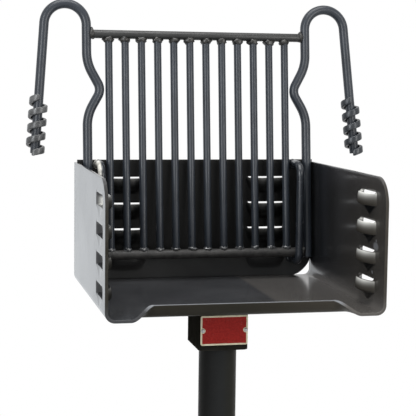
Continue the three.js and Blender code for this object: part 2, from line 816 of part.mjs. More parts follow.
const grate = new THREE.Group();
grate.rotation.x = -grateLean;
crossbarPivot.add(grate);
const frontCrossbar = addMesh(grate, 'front_crossbar', acrossBar(frameBarRadius, crossbarLength), barEnamel);
frontCrossbar.position.z = grateLength;
for (let i = 0; i < cookingBarCount; i += 1) {
  const name = `cooking_bar_${String(i + 1).padStart(2, '0')}`;
  addMesh(grate, name, cookingBar(), barEnamel).position.x = -outerCookingBarX + i * cookingBarPitch;
}
for (const [name, side] of [['left', -1], ['right', 1]]) {
  addMesh(grate, `side_bar_${name}`, sideBar(side), barEnamel);
  const rings = gripRings(side);
  console.log(`grip_coil_${name}: least gap to itself ${leastSelfGap(rings).toFixed(2)} mm`);
  addMesh(grate, `grip_coil_${name}`, skinned(rings), gripSteel);
}

export default group;
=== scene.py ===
"""A park barbecue grill on a pedestal post: its looks, camera and light."""
from math import ceil, copysign, cos, hypot, pi, radians, sin, sqrt, tan

import bmesh
import bpy
from mathutils import Matrix, Vector, noise


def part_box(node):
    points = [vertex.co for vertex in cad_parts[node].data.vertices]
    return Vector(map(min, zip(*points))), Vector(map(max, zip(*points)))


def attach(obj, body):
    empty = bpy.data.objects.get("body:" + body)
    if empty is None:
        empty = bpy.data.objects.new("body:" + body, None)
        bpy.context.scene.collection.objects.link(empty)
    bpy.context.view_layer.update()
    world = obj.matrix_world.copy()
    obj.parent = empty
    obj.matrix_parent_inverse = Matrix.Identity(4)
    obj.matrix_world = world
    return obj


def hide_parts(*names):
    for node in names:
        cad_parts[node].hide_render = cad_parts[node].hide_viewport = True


MM = 0.001
SIDES = ((-1, "left"), (1, "right"))
X = Vector((1, 0, 0))
Z = Vector((0, 0, 1))

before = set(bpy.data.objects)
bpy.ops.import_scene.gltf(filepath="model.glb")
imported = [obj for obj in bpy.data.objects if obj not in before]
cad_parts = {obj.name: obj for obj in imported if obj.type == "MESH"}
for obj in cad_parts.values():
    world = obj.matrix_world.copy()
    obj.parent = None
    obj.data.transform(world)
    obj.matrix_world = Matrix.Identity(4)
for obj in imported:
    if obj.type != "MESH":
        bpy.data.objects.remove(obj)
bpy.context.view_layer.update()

# Places read from the frame
shell_low, shell_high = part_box("firebox_shell")
rear_low, rear_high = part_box("rear_crossbar")
front_low, front_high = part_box("front_crossbar")
bracket_low, bracket_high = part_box("support_bracket")
plate_low, plate_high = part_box("name_plate")
post_low, post_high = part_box("post_pipe")

# Steel plate of the firebox
PLATE = 4.8 * MM
EDGE_ROUND = 0.7 * MM
FLOOR_BEND = 10 * MM
WALL_CORNER = 42 * MM
DRAIN_CORNER = 30 * MM
DRAIN_POWER = 1.5
FLAT_CORNER = 33 * MM
LIP_EASE = 36 * MM
LIP_SETBACK = 42 * MM
LIP_BEND = 15 * MM
LIP_STRIP = 28.2 * MM
LIP_STEPS = 17

INNER_X = shell_high.x - PLATE
FRONT_Y = shell_low.y
REAR_Y = shell_high.y
BACK_FACE_Y = REAR_Y - PLATE
FLOOR_Z = shell_low.z
WALL_TOP = shell_high.z
BACK_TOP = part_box("back_plate")[1].z
LIP_BEND_Y = FRONT_Y + LIP_SETBACK

# Pressed tabs
TAB_ROWS = 4
TOP_TAB_Z = WALL_TOP - 27 * MM
TAB_PITCH = (TOP_TAB_Z - FLOOR_Z - 45 * MM) / (TAB_ROWS - 1)
TAB_LEVELS = [TOP_TAB_Z - row * TAB_PITCH for row in range(TAB_ROWS)]
TAB_LENGTH = 68 * MM
TAB_SKIN = 3.4 * MM
TAB_SLOT = 2.7 * MM
TAB_FACE = 18 * MM
TAB_FOLD = 2.5 * MM
TAB_TIP_DROP = 33.5 * MM
TAB_TIP_AHEAD = 4 * MM
TAB_TIP_WIDTH = 60 * MM
TAB_TIP_PROUD = 1 * MM
TAB_FIELD_ABOVE = 4 * MM
TAB_FIELD_BELOW = 4.6 * MM
REAR_SCOOP_DROP = 27 * MM
REAR_SLOT = 1.9 * MM
WELDED = 0.3 * MM
RIGHT_TAB_Y = FRONT_Y + 75.5 * MM
RIGHT_TAB_REACH = 14.5 * MM
LEFT_TAB_Y = FRONT_Y + 60.5 * MM
LEFT_TAB_REACH = 12.5 * MM
REAR_TAB_X = INNER_X - 82.5 * MM
REAR_TAB_REACH = 13 * MM

# Grid lines below a tab's lip in mm, closest where the sheet bends
LEVEL_STEPS = (1, 2.5, 4.5, 7, 9.5, 12, 14, 15, 16, 17, 18, 19.2, 21, 22.5, 24.5, 26.5, 28.5, 30.5, 32.5, 35, 38)

# Painted light on the tabs: the left lips' share of the highlight, and the light in the pockets and in the top
# left window
LEFT_LIP_SHARE = 0.2
POCKET_SHARE = 0.5
WINDOW_LIGHT = 0.8

# Rubbed spots on the right wall: place along and up, half length, half height and strength
SCUFFS = [
    (-158 * MM, 878 * MM, 11 * MM, 6.5 * MM, 0.6),
    (-160 * MM, 887 * MM, 2.5 * MM, 1.6 * MM, 0.8),
    (-145 * MM, 838 * MM, 3 * MM, 2.4 * MM, 0.9),
]

# Grate
FRAME_BAR = (rear_high.z - rear_low.z) / 2
COOKING_BAR = 12.7 / 2 * MM
FRONT_ROD = 14.3 / 2 * MM
TOUCH = 0.3 * MM
SIDE_BAR_X = INNER_X - 15.3 * MM
SIDE_BAR_TAIL = 9 * MM
KINK_PAST_TAB = 16 * MM
KINK_REAR = 42.5 * MM
KINK_FRONT = 44.5 * MM
KINK_DEPTH = 24.1 * MM
KINK_BEND = 22 * MM
KINK_END_BEND = 70 * MM
LOOP_RADIUS = 35.2 * MM
LOOP_RISE = 13.7 * MM
HANDLE_SPLAY = radians(4.6)
HANDLE_LEG = 218 * MM

# Handle grips
GRIP_PITCH = 22.8 * MM
GRIP_TURNS = 4.08
GRIP_TOP_SHARE = 0.75
GRIP_WIDTH = 11.1 * MM
GRIP_THICK = 5.5 * MM
GRIP_CLEARANCE = 2.4 * MM
GRIP_END_TURNS = 0.35
GRIP_STEPS = 44
GRIP_SIDES = 16
GRIP_WOBBLE = 0.35 * MM
GRIP_TIP_SHARES = (0.7, 0.93)

# Guide rods
GUIDE_ROD = 12.7 / 2 * MM
GUIDE_ARCH = 20 * MM
GUIDE_FOOT = 13 * MM
GUIDE_CLEARANCE = 0.5 * MM

# Bracket, rivets, post and welds
BRACKET_BEND = 4 * MM
RIVET_HEIGHT = 1.8 * MM
RIVET_SIDES = 28
RIVET_STEPS = 8
PIPE_WALL = 3.9 * MM
PIPE_EASE = 0.6 * MM
PIPE_SIDES = 64
GUSSET_WELD = 2.8 * MM
GUSSET_WELD_OFF = 4.4 * MM
RING_WELD = 3 * MM
SEAM_WELD = 2.8 * MM
FRONT_SEAM_WELD = 2.6 * MM
TACK_WELD = 2.2 * MM
TACK_FIRST_Z = 815 * MM
TACK_PITCH = 70 * MM
TACK_LENGTH = 22 * MM
WELD_SUNK = 0.8 * MM
SEAM_INSET = 12 * MM

# Fineness of round shapes
ARC_STEPS = 14
BAR_SIDES = 28
END_ROUND = 0.16
END_SHARES = (0.0, 0.5, 0.85, 1.0)
SAME_POINT = 0.01 * MM
QUARTER_BEND = [(cos(pi / 2 * i / 8), sin(pi / 2 * i / 8)) for i in range(1, 8)]

rear_axis = (rear_low + rear_high) / 2
front_axis = (front_low + front_high) / 2
grate_up = (front_axis - rear_axis).normalized()
grate_length = (front_axis - rear_axis).length
grate_out = X.cross(grate_up).normalized()


def on_grate(x, along):
    """A point of the grate's plane from its place across and along its bars."""
    return rear_axis + X * x + grate_up * along


def linked(name, data):
    obj = bpy.data.objects.new(name, data)
    bpy.context.scene.collection.objects.link(obj)
    return obj


def mesh_object(name, verts, faces, material, sharp_degrees=40):
    """A smooth-shaded object whose shading breaks at sharp edges."""
    mesh = bpy.data.meshes.new(name)
    mesh.from_pydata(verts, [], faces)
    mesh.validate()
    mesh.shade_smooth()
    mesh.set_sharp_from_angle(angle=radians(sharp_degrees))
    mesh.update()
    mesh.materials.append(material)
    return linked(name, mesh)


def add_attribute(obj, name, values):
    obj.data.attributes.new(name, "FLOAT", "POINT").data.foreach_set("value", values)


def circle(sides):
    """Cosine and sine of evenly spaced angles, once round."""
    angles = [2 * pi * k / sides for k in range(sides)]
    return [(cos(a), sin(a)) for a in angles]


def grid_faces(rows, columns, ring=False, loop=False, flip=False):
    """Quads of a grid of points. A ring closes each row on itself, a loop each column."""
    faces = []
    for i in range(rows if loop else rows - 1):
        here, there = i * columns, (i + 1) % rows * columns
        for k in range(columns if ring else columns - 1):
            n = (k + 1) % columns
            a, b, c, d = here + k, here + n, there + n, there + k
            faces.append((a, d, c, b) if flip else (a, b, c, d))
    return faces


def rounded_path(corners, radii):
    """Points through the corners, with a round bend at each inner one."""
    points = [corners[0]]
    for before, corner, after, radius in zip(corners, corners[1:], corners[2:], radii):
        back = (before - corner).normalized()
        ahead = (after - corner).normalized()
        half = back.angle(ahead) / 2
        start = corner + back * (radius / tan(half))
        end = corner + ahead * (radius / tan(half))
        centre = corner + (back + ahead).normalized() * (radius / sin(half))
        a, b = start - centre, end - centre
        angle = a.angle(b)
        touching = (start - points[-1]).length < SAME_POINT
        for k in range(1 if touching else 0, ARC_STEPS + 1):
            t = k / ARC_STEPS
            points.append(centre + a * (sin((1 - t) * angle) / sin(angle)) + b * (sin(t * angle) / sin(angle)))
    points.append(corners[-1])
    return points


def tube(name, points, radius, material, side):
    """A round bar along the points, with rounded ends. Its side is carried along without twisting."""
    frames = []
    for before, point, after in zip(points[:1] + points, points, points[1:] + points[-1:]):
        tangent = (after - before).normalized()
        side = (side - tangent * side.dot(tangent)).normalized()
        frames.append((point, tangent, side, tangent.cross(side)))
    edge = radius * END_ROUND
    end = [(edge * (1 - sqrt(1 - share ** 2)), radius - edge * (1 - share)) for share in END_SHARES]
    rings = [(frames[0], shift, r) for shift, r in end]
    rings += [(f, 0.0, radius) for f in frames[1:-1]]
    rings += [(frames[-1], -shift, r) for shift, r in reversed(end)]
    verts = []
    for (point, tangent, across, other), shift, r in rings:
        verts += [point + tangent * shift + across * (r * c) + other * (r * s) for c, s in circle(BAR_SIDES)]
    faces = grid_faces(len(rings), BAR_SIDES, ring=True)
    faces += [tuple(reversed(range(BAR_SIDES))), tuple(range(len(verts) - BAR_SIDES, len(verts)))]
    return mesh_object(name, verts, faces, material)


def turned(name, profile, material):
    """A closed profile of (radius, z) turned about the post's axis."""
    verts = [(r * c, r * s, z) for c, s in circle(PIPE_SIDES) for r, z in profile]
    faces = grid_faces(PIPE_SIDES, len(profile), ring=True, loop=True, flip=True)
    return mesh_object(name, verts, faces, material, 30)


def lump(centre, across, along, radii, seed, rough=0.16, rings=10, sides=16):
    """Vertices and faces of one lumpy bead of weld metal."""
    third = across.cross(along)
    verts = []
    for i in range(rings + 1):
        polar = pi * i / rings
        for c, s in circle(sides):
            unit = Vector((sin(polar) * c, sin(polar) * s, cos(polar)))
            p = unit * (1 + rough * noise.noise(unit * 1.9 + Vector((seed * 3.7, seed, -seed))))
            verts.append(centre + across * (p.x * radii[0]) + third * (p.y * radii[1]) + along * (p.z * radii[2]))
    return verts, grid_faces(rings + 1, sides, ring=True)


def beads(name, parts, material):
    """One object from many beads."""
    verts, faces = [], []
    for part_verts, part_faces in parts:
        base = len(verts)
        verts += part_verts
        faces += [tuple(base + i for i in face) for face in part_faces]
    obj = mesh_object(name, verts, faces, material, 75)
    merge_close(obj, 0.02 * MM)
    return obj


def weld_run(points, radius, seed):
    """Overlapping beads along a line of points."""
    found = []
    total = sum((b - a).length for a, b in zip(points, points[1:]))
    count = max(2, round(total / (1.4 * radius)))
    for i in range(count):
        along = total * (i + 0.5) / count
        for a, b in zip(points, points[1:]):
            step = (b - a).length
            if along <= step:
                break
            along -= step
        way = (b - a).normalized()
        across = way.cross(Z if abs(way.z) < 0.9 else X).normalized()
        wide = radius * (1 + 0.22 * noise.noise(Vector((seed, i * 0.7, 1.3))))
        found.append(lump(a + way * along, across, way, (wide, wide, 1.25 * radius), seed + i, 0.2, 6, 9))
    return found


def eased(node, width, material):
    """A CAD node's shape with its sharp edges rounded off."""
    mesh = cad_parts[node].data.copy()
    work = bmesh.new()
    work.from_mesh(mesh)
    bmesh.ops.remove_doubles(work, verts=work.verts, dist=SAME_POINT)
    bmesh.ops.dissolve_limit(work, angle_limit=radians(2), verts=work.verts, edges=work.edges)
    sharp_angle = radians(35)
    sharp = [e for e in work.edges if len(e.link_faces) == 2 and e.calc_face_angle() > sharp_angle]
    bmesh.ops.bevel(work, geom=sharp, offset=width, segments=3, profile=0.5, affect="EDGES", clamp_overlap=True)
    bmesh.ops.triangulate(work, faces=[f for f in work.faces if len(f.verts) > 4])
    work.to_mesh(mesh)
    work.free()
    mesh.materials.clear()
    mesh.materials.append(material)
    mesh.shade_smooth()
    mesh.set_sharp_from_angle(angle=sharp_angle)
    return linked(f"{node}_eased", mesh)


def merge_close(obj, distance):
    work = bmesh.new()
    work.from_mesh(obj.data)
    bmesh.ops.remove_doubles(work, verts=work.verts, dist=distance)
    work.to_mesh(obj.data)
    work.free()


def thick_sheet(name, points, faces, material, marks=None):
    """Plate round its middle surface, with every free edge rounded."""
    zero = Vector((0, 0, 0))
    normals = [zero.copy() for _ in points]
    edge_faces = {}
    for face in faces:
        corners = [points[i] for i in face]
        normal = (corners[2] - corners[0]).cross(corners[3] - corners[1]).normalized()
        centre = sum(corners, zero) / len(corners)
        for i in face:
            normals[i] += normal
        for a, b in zip(face, face[1:] + face[:1]):
            edge_faces.setdefault((min(a, b), max(a, b)), []).append((a, b, centre))
    normals = [n.normalized() for n in normals]
    rim = [found[0] for found in edge_faces.values() if len(found) == 1]
    outward = {}
    for a, b, centre in rim:
        direction = (points[b] - points[a]).normalized()
        middle = (points[a] + points[b]) / 2
        for i in (a, b):
            away = direction.cross(normals[i])
            outward[i] = outward.get(i, zero) + (-away if away.dot(centre - middle) > 0 else away)
    for i in outward:
        outward[i].normalize()
    half = PLATE / 2
    used = sorted({i for face in faces for i in face})
    index = {i: k for k, i in enumerate(used)}
    inset = {i: outward.get(i, zero) * EDGE_ROUND for i in used}
    verts = [points[i] + normals[i] * off - inset[i] for off in (half, -half) for i in used]
    wear = [0.35 if i in outward else 0.0 for i in used] * 2
    total = len(used)
    new_faces = [tuple(index[i] for i in face) for face in faces]
    new_faces += [tuple(index[i] + total for i in reversed(face)) for face in faces]
    corner = EDGE_ROUND * (1 - sqrt(0.5))
    bevel = [(half - corner, corner), (half - EDGE_ROUND, 0.0), (EDGE_ROUND - half, 0.0), (corner - half, corner)]
    rows = {}
    for i, away in outward.items():
        rows[i] = [index[i], *range(len(verts), len(verts) + len(bevel)), index[i] + total]
        verts += [points[i] + normals[i] * height - away * pull for height, pull in bevel]
        wear += [1.0] * len(bevel)
    for a, b, _ in rim:
        left, right = rows[a], rows[b]
        new_faces += [(left[k], left[k + 1], right[k + 1], right[k]) for k in range(len(left) - 1)]
    obj = mesh_object(name, verts, new_faces, material, 50)
    add_attribute(obj, "wear", wear)
    for mark, (outer, inner) in (marks or {}).items():
        spread = [outer[i] for i in used] + [inner[i] for i in used]
        spread += [inner[i] for i in outward for _ in bevel]
        add_attribute(obj, mark, spread)
    return obj


def smooth(t):
    t = min(max(t, 0.0), 1.0)
    return t * t * (3 - 2 * t)


def tab_span(share):
    """Share of a tab's reach along its lip."""
    return max(1 - abs(share) ** 2.6, 0.0) ** 0.8


def side_tab(u, h, reach):
    """How far the wall is pushed in, u along from the tab's middle and h up from its lip."""
    if h > TAB_SLOT / 2 or abs(u) > TAB_LENGTH / 2:
        return 0.0
    face = 1 - smooth((-h - TAB_FACE + TAB_FOLD) / TAB_FOLD)
    crown = 1 - 0.16 * max(1 + h / (0.6 * TAB_FACE), 0) ** 2
    pushed = reach * tab_span(2 * u / TAB_LENGTH) * face * crown
    drop = min(max((-h - TAB_FACE + TAB_FOLD) / (TAB_TIP_DROP - TAB_FACE + TAB_FOLD), 0), 1)
    half = TAB_TIP_WIDTH / 2 * (1 - drop)
    tip = 0.0
    if half > 0 and h < 0:
        tip = TAB_TIP_PROUD * (1 - drop) * max(1 - abs(u) / half, 0) ** 0.6
    return max(pushed, tip)


def rear_tab(u, h):
    """How far the back plate is pushed forward, as a scoop with a round bottom."""
    if h > REAR_SLOT / 2 or abs(u) > TAB_LENGTH / 2:
        return 0.0
    drop = min(max(-h / REAR_SCOOP_DROP, 0), 1)
    half = TAB_LENGTH / 2 * (1 - 0.3 * drop ** 2)
    return REAR_TAB_REACH * tab_span(min(abs(u) / half, 1)) * (1 - smooth((drop - 0.35) / 0.65))


def level_lines(top, bottom, slot, coarse=9 * MM):
    """Heights of grid lines, close together at the tabs."""
    lines = [top, bottom]
    for level in TAB_LEVELS:
        lines += [level + slot, level, level + 7 * MM]
        lines += [level - step * MM for step in LEVEL_STEPS]
    lines = sorted({round(z, 6) for z in lines if bottom - 1e-9 <= z <= top + 1e-9}, reverse=True)
    filled = [lines[0]]
    for z in lines[1:]:
        start = filled[-1]
        gap = start - z
        parts = max(1, ceil(gap / coarse))
        filled += [start - gap * (k + 1) / parts for k in range(parts)]
    return filled


def even(start, end, spacing):
    parts = max(1, round(abs(end - start) / spacing))
    return [start + (end - start) * k / parts for k in range(parts + 1)]


def tab_at(height):
    """The lip height of the tab that a height belongs to."""
    for level in TAB_LEVELS:
        if level - TAB_TIP_DROP - TAB_FIELD_BELOW < height <= level + TAB_SLOT + TAB_FIELD_ABOVE:
            return level
    return None


def scuff(y, z):
    """How strongly a place inside the right wall is rubbed."""
    return max(strength * smooth(1.4 - (((y - spot_y) / along) ** 2 + ((z - spot_z) / up) ** 2))
               for spot_y, spot_z, along, up, strength in SCUFFS)


def lip_angle(share, strip):
    """Angle of the bend that lifts the edge by its share of the whole rise."""
    if share == 0:
        return 0.0
    wanted = share * lip_point(pi / 2, LIP_STRIP)[1]
    low, high = 0.0, pi / 2
    for _ in range(30):
        angle = (low + high) / 2
        low, high = (angle, high) if lip_point(angle, strip)[1] < wanted else (low, angle)
    return high


def lip_point(angle, run):
    """Place (y, rise) of the sheet's middle at a run past the start of the bend."""
    middle = LIP_BEND + PLATE / 2
    turn = min(run / middle, angle)
    straight = max(run - angle * middle, 0)
    y = LIP_BEND_Y - middle * sin(turn) - straight * cos(turn)
    return y, middle * (1 - cos(turn)) + straight * sin(turn)


def shell_stations():
    """Places round the bent sheet's middle: kind, x and z."""
    base = FLOOR_Z + PLATE + FLOOR_BEND
    middle = FLOOR_BEND + PLATE / 2
    right = [("wall", INNER_X + PLATE / 2, z) for z in level_lines(WALL_TOP, base, TAB_SLOT)]
    right += [("bend", INNER_X - FLOOR_BEND + c * middle, base - s * middle) for c, s in QUARTER_BEND]
    ease_end = INNER_X - FLAT_CORNER - LIP_EASE
    floor_x = even(INNER_X - FLOOR_BEND, INNER_X - FLAT_CORNER, 6 * MM)
    floor_x += even(INNER_X - FLAT_CORNER, ease_end, 2.4 * MM)[1:]
    floor_x += even(ease_end, 0, 12 * MM)[1:]
    right += [("floor", x, FLOOR_Z + PLATE / 2) for x in floor_x]
    left = [(kind, -x, z) for kind, x, z in right[:-1]]
    return left + right[::-1]


def wall_place(z, a):
    """Place (y, z) on a side wall at share a of the run past the bend line."""
    corner_z = WALL_TOP - WALL_CORNER
    b = max((z - corner_z) / WALL_CORNER, 0.0)
    y = LIP_BEND_Y - LIP_SETBACK * a * sqrt(1 - b * b / 2)
    return y, corner_z + WALL_CORNER * b * sqrt(1 - a * a / 2) if b > 0 else z


def tab_marks(u, h, side, pushed, top_row):
    """Painted light and shade round a side tab: a painted shadow below it, a painted highlight inside its lip,
    painted light in the pocket behind.
    """
    # dark is a painted shadow: the black triangle that the tab casts on the wall below it
    drop = (-h - TAB_FACE) / (TAB_TIP_DROP - TAB_FACE)
    inside = abs(u + TAB_TIP_AHEAD) < TAB_TIP_WIDTH / 2 * (1 - drop)
    dark = 1.0 if -0.06 < drop < 1 and inside else 0.0
    if pushed <= 0 or h > 0:
        return dark, 0.0, 0.0
    # bright is a painted highlight on the lip, where the tab's top catches the light, fading down its face
    low = max(0.0, 1 + h / TAB_FACE)
    rear = smooth((TAB_LENGTH / 2 - u) / (0.5 * TAB_LENGTH))
    front = 0.55 + 0.45 * smooth((u + TAB_LENGTH / 2) / (0.3 * TAB_LENGTH))
    bright = low ** 4 * (rear + (1 - rear) * 0.7 * low ** 12) * front
    bright *= 1.0 if side > 0 else LEFT_LIP_SHARE
    # behind is painted light in the pocket, and the lit patch in the top left window
    behind = POCKET_SHARE * bright
    if side < 0 and top_row and -h < TAB_FACE:
        behind = WINDOW_LIGHT * smooth((-h - 1 * MM) / (7 * MM))
        behind *= smooth((36 * MM - u) / (12 * MM)) * smooth((u - 4 * MM) / (8 * MM))
    return dark, bright, behind


def firebox_shell(material, front_material, tab_material):
    """The floor, side walls and front lip as one bent sheet, with pressed tabs."""
    stations = shell_stations()
    right_tab, left_tab = (1, RIGHT_TAB_Y, RIGHT_TAB_REACH), (-1, LEFT_TAB_Y, LEFT_TAB_REACH)
    tabs_end = LIP_BEND_Y + 72 * MM
    lines = [(y, 0) for y in even(REAR_Y, tabs_end, 14 * MM) + even(tabs_end, LIP_BEND_Y, 2.4 * MM)[1:]]
    lines += [(LIP_BEND_Y, k / LIP_STEPS) for k in range(1, LIP_STEPS + 1)]
    points, paint, local = [], [], []
    for kind, x, z in stations:
        side, tab_y, reach = right_tab if x > 0 else left_tab
        share = smooth((INNER_X - FLAT_CORNER - abs(x)) / LIP_EASE) if kind == "floor" else 0.0
        strip = LIP_SETBACK + (LIP_STRIP - LIP_SETBACK) * share
        angle = lip_angle(share, strip)
        level = tab_at(z) if kind == "wall" else None
        for y, run in lines:
            height = z
            if run > 0 and kind == "wall":
                y, height = wall_place(z, run)
            elif run > 0:
                y, rise = lip_point(angle, strip * run)
                height += rise
            pushed, dark, bright, behind = 0.0, 0.0, 0.0, 0.0
            if level is not None:
                u, h = y - tab_y, z - level
                pushed = side_tab(u, h, reach)
                dark, bright, behind = tab_marks(u, h, side, pushed, level == TOP_TAB_Z)
            points.append(Vector((x - side * pushed, y, height)))
            # Ash on the lowest 30 mm of the sheet, painted lighter as painted fill light too
            ash_and_fill_light = smooth(1 - (height - FLOOR_Z - PLATE) / (30 * MM))
            # rim is a painted highlight along the front lip's top edge; the right wall's scuffs are real wear in
            # the same mark
            rim = smooth(2.2 * share - 1.2) if kind == "floor" and run == 1 else 0.0
            scuff_and_rim_highlight = scuff(y, z) if kind == "wall" and side > 0 else rim
            paint.append((dark, bright, behind, ash_and_fill_light, scuff_and_rim_highlight))
            local.append((level, z, y - tab_y))
    painted_tab_shadow, lip, outer_lip, ash_and_fill_light, scuff_and_rim_highlight = zip(*paint)
    none = [0.0] * len(points)
    faces = open_slots(grid_faces(len(stations), len(lines), flip=True), local, TAB_SLOT)
    # Marks: painted tab shadows, painted highlights on the lips and in the pockets, ash with painted fill light,
    # scuffs with a painted highlight on the lip's edge
    marks = {"painted_tab_shadow": (none, painted_tab_shadow), "lip": (outer_lip, lip), "ash_and_fill_light": (none, ash_and_fill_light), "scuff_and_rim_highlight": (none, scuff_and_rim_highlight)}
    shell = thick_sheet("firebox_sheet", points, faces, material, marks)
    shell.data.materials.append(front_material)
    shell.data.materials.append(tab_material)
    for polygon in shell.data.polygons:
        centre = polygon.center
        level = tab_at(centre.z) if abs(centre.x) > INNER_X - 2 * RIGHT_TAB_REACH else None
        if level is not None and polygon.normal.x * centre.x < 0:
            u = centre.y - (RIGHT_TAB_Y if centre.x > 0 else LEFT_TAB_Y)
            if abs(u) < TAB_LENGTH / 2 and level - TAB_FACE < centre.z < level:
                polygon.material_index = 2
        on_lip = centre.z < FLOOR_Z + LIP_STRIP and abs(centre.x) < INNER_X - FLAT_CORNER
        if centre.y < LIP_BEND_Y and polygon.normal.y < (-0.08 if on_lip else -0.6):
            polygon.material_index = 1
    return shell


def open_slots(faces, local, slot):
    """The faces that don't lie in the slot above a tab."""
    kept = []
    for face in faces:
        (level, *others), heights, along = zip(*(local[i] for i in face))
        above = 0.0 if level is None or set(others) != {level} else sum(heights) / 4 - level
        if not 0 < above < slot or abs(sum(along) / 4) >= TAB_LENGTH / 2 - TAB_SKIN:
            kept.append(face)
    return kept


def back_plate(material):
    """The rear wall, with pressed tabs and rounded lower corners."""
    side_x = INNER_X + WELDED
    bottom = FLOOR_Z + PLATE - WELDED
    heights = level_lines(BACK_TOP, bottom, REAR_SLOT)
    tab_low, tab_high = REAR_TAB_X - 38 * MM, REAR_TAB_X + 38 * MM
    half = even(side_x, tab_high, 8 * MM) + even(tab_high, tab_low, 2.2 * MM)[1:]
    half += even(tab_low, 0, 12 * MM)[1:]
    across = [-x for x in half[:-1]] + half[::-1]
    points, lip, ash_and_fill_light, local = [], [], [], []
    for z in heights:
        level = tab_at(z)
        b = max((bottom + DRAIN_CORNER - z) / DRAIN_CORNER, 0.0)
        for x in across:
            a = max((abs(x) - side_x + DRAIN_CORNER) / DRAIN_CORNER, 0.0)
            place_x, place_z = x, z
            if a > 0 and b > 0:
                squeeze = max(a, b) / (a ** DRAIN_POWER + b ** DRAIN_POWER) ** (1 / DRAIN_POWER)
                place_x = copysign(side_x - DRAIN_CORNER + DRAIN_CORNER * a * squeeze, x)
                place_z = bottom + DRAIN_CORNER - DRAIN_CORNER * b * squeeze
            pushed, bright = 0.0, 0.0
            if level is not None:
                u, h = abs(x) - REAR_TAB_X, z - level
                pushed = rear_tab(u, h)
                # bright is a painted highlight along the top of each back tab
                if pushed > 0 and h <= 0:
                    bright = 0.13 * max(0.0, 1 + h / (6 * MM)) * min(pushed / REAR_TAB_REACH * 1.4, 1)
            points.append(Vector((place_x, REAR_Y - PLATE / 2 - pushed, place_z)))
            lip.append(bright)
            # Painted fill light on the back plate below the rear crossbar
            ash_and_fill_light.append(smooth((rear_axis.z - z) / (20 * MM)))
            local.append((level, z, abs(x) - REAR_TAB_X))
    faces = open_slots(grid_faces(len(heights), len(across), flip=True), local, REAR_SLOT)
    marks = {"lip": (lip, lip), "ash_and_fill_light": (ash_and_fill_light, [0.0] * len(points))}
    return thick_sheet("back_sheet", points, faces, material, marks)


def side_bar_corners(side):
    """Corners of a side bar, from its tail to the handle's end."""
    loop = grate_length + LOOP_RISE
    half_turn = (pi - HANDLE_SPLAY) / 2
    reach = LOOP_RADIUS * tan(half_turn / 2)
    leg = Vector((sin(HANDLE_SPLAY), -cos(HANDLE_SPLAY)))
    turn = Vector((sin(half_turn), cos(half_turn)))
    kink = rear_axis.y - RIGHT_TAB_Y + KINK_PAST_TAB
    first = Vector((SIDE_BAR_X, loop + reach))
    second = first + turn * (2 * reach)
    leg_start = second + leg * reach
    corners = [
        Vector((SIDE_BAR_X, -SIDE_BAR_TAIL)),
        Vector((SIDE_BAR_X, kink - KINK_REAR)),
        Vector((SIDE_BAR_X - KINK_DEPTH, kink)),
        Vector((SIDE_BAR_X, kink + KINK_FRONT)),
        first,
        second,
        leg_start + leg * HANDLE_LEG,
    ]
    return [on_grate(side * c.x, c.y) for c in corners]


def side_bar(side, name, material):
    radii = [KINK_END_BEND, KINK_BEND, KINK_END_BEND, LOOP_RADIUS, LOOP_RADIUS]
    return tube(name, rounded_path(side_bar_corners(side), radii), FRAME_BAR, material, grate_out)


def grip_coil(side, name, material):
    """A flat strip in an open coil whose ends close on the handle leg."""
    top, end = side_bar_corners(side)[-2:]
    up = (top - end).normalized()
    right = up.cross(grate_out)
    steps = round(GRIP_TURNS * GRIP_STEPS)
    section = [(squared(c) * GRIP_THICK / 2, squared(s) * GRIP_WIDTH / 2) for c, s in circle(GRIP_SIDES)]
    closed = FRAME_BAR + TOUCH + GRIP_THICK / 2
    opened = FRAME_BAR + GRIP_CLEARANCE + GRIP_THICK / 2
    verts = []
    for i in range(steps + 1):
        turn = GRIP_TURNS * i / steps
        angle = 2 * pi * (turn - GRIP_TURNS + GRIP_TOP_SHARE)
        radius = closed + (opened - closed) * smooth(min(turn, GRIP_TURNS - turn) / GRIP_END_TURNS)
        radius += GRIP_WOBBLE * noise.noise(Vector((turn * 2.2, side * 5, 0.3)))
        outward = right * cos(angle) - grate_out * sin(angle)
        centre = end + up * (turn * GRIP_PITCH) + outward * radius
        tip = min(i, steps - i)
        shrink = GRIP_TIP_SHARES[tip] if tip < len(GRIP_TIP_SHARES) else 1.0
        for across, along in section:
            verts.append(centre + outward * (across * shrink) + up * (along * shrink))
    faces = grid_faces(steps + 1, GRIP_SIDES, ring=True, flip=True)
    faces += [tuple(range(GRIP_SIDES)), tuple(reversed(range(steps * GRIP_SIDES, (steps + 1) * GRIP_SIDES)))]
    return mesh_object(name, verts, faces, material, 35)


def squared(value):
    """A cosine or sine pushed outwards, for a rounded rectangle."""
    return copysign(abs(value) ** 0.34, value)


def guide_rod(name, material):
    """A bent guide rod in front of the back plate, and its two welds."""
    x = sum(c.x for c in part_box(name)) / 2
    leg_y = rear_axis.y - FRAME_BAR - GUIDE_CLEARANCE - GUIDE_ROD
    end_y = BACK_FACE_Y - TOUCH
    top_z = BACK_TOP - GUIDE_ROD
    foot_z = rear_axis.z - FRAME_BAR - TOUCH - GUIDE_ROD
    bends = ((end_y, top_z), (leg_y, top_z), (leg_y, foot_z), (end_y, foot_z))
    path = rounded_path([Vector((x, y, z)) for y, z in bends], [GUIDE_ARCH, GUIDE_FOOT])
    rod = tube(f"{name}_round", path, GUIDE_ROD, material, X)
    rod_beads = [lump(Vector((x, end_y - 1 * MM, z)), X, Z, (8.4 * MM, 3.2 * MM, 8.4 * MM), 3.1 + z * 50)
                 for z in (top_z - 1.6 * MM, foot_z)]
    return rod, beads(f"{name}_welds", rod_beads, material)


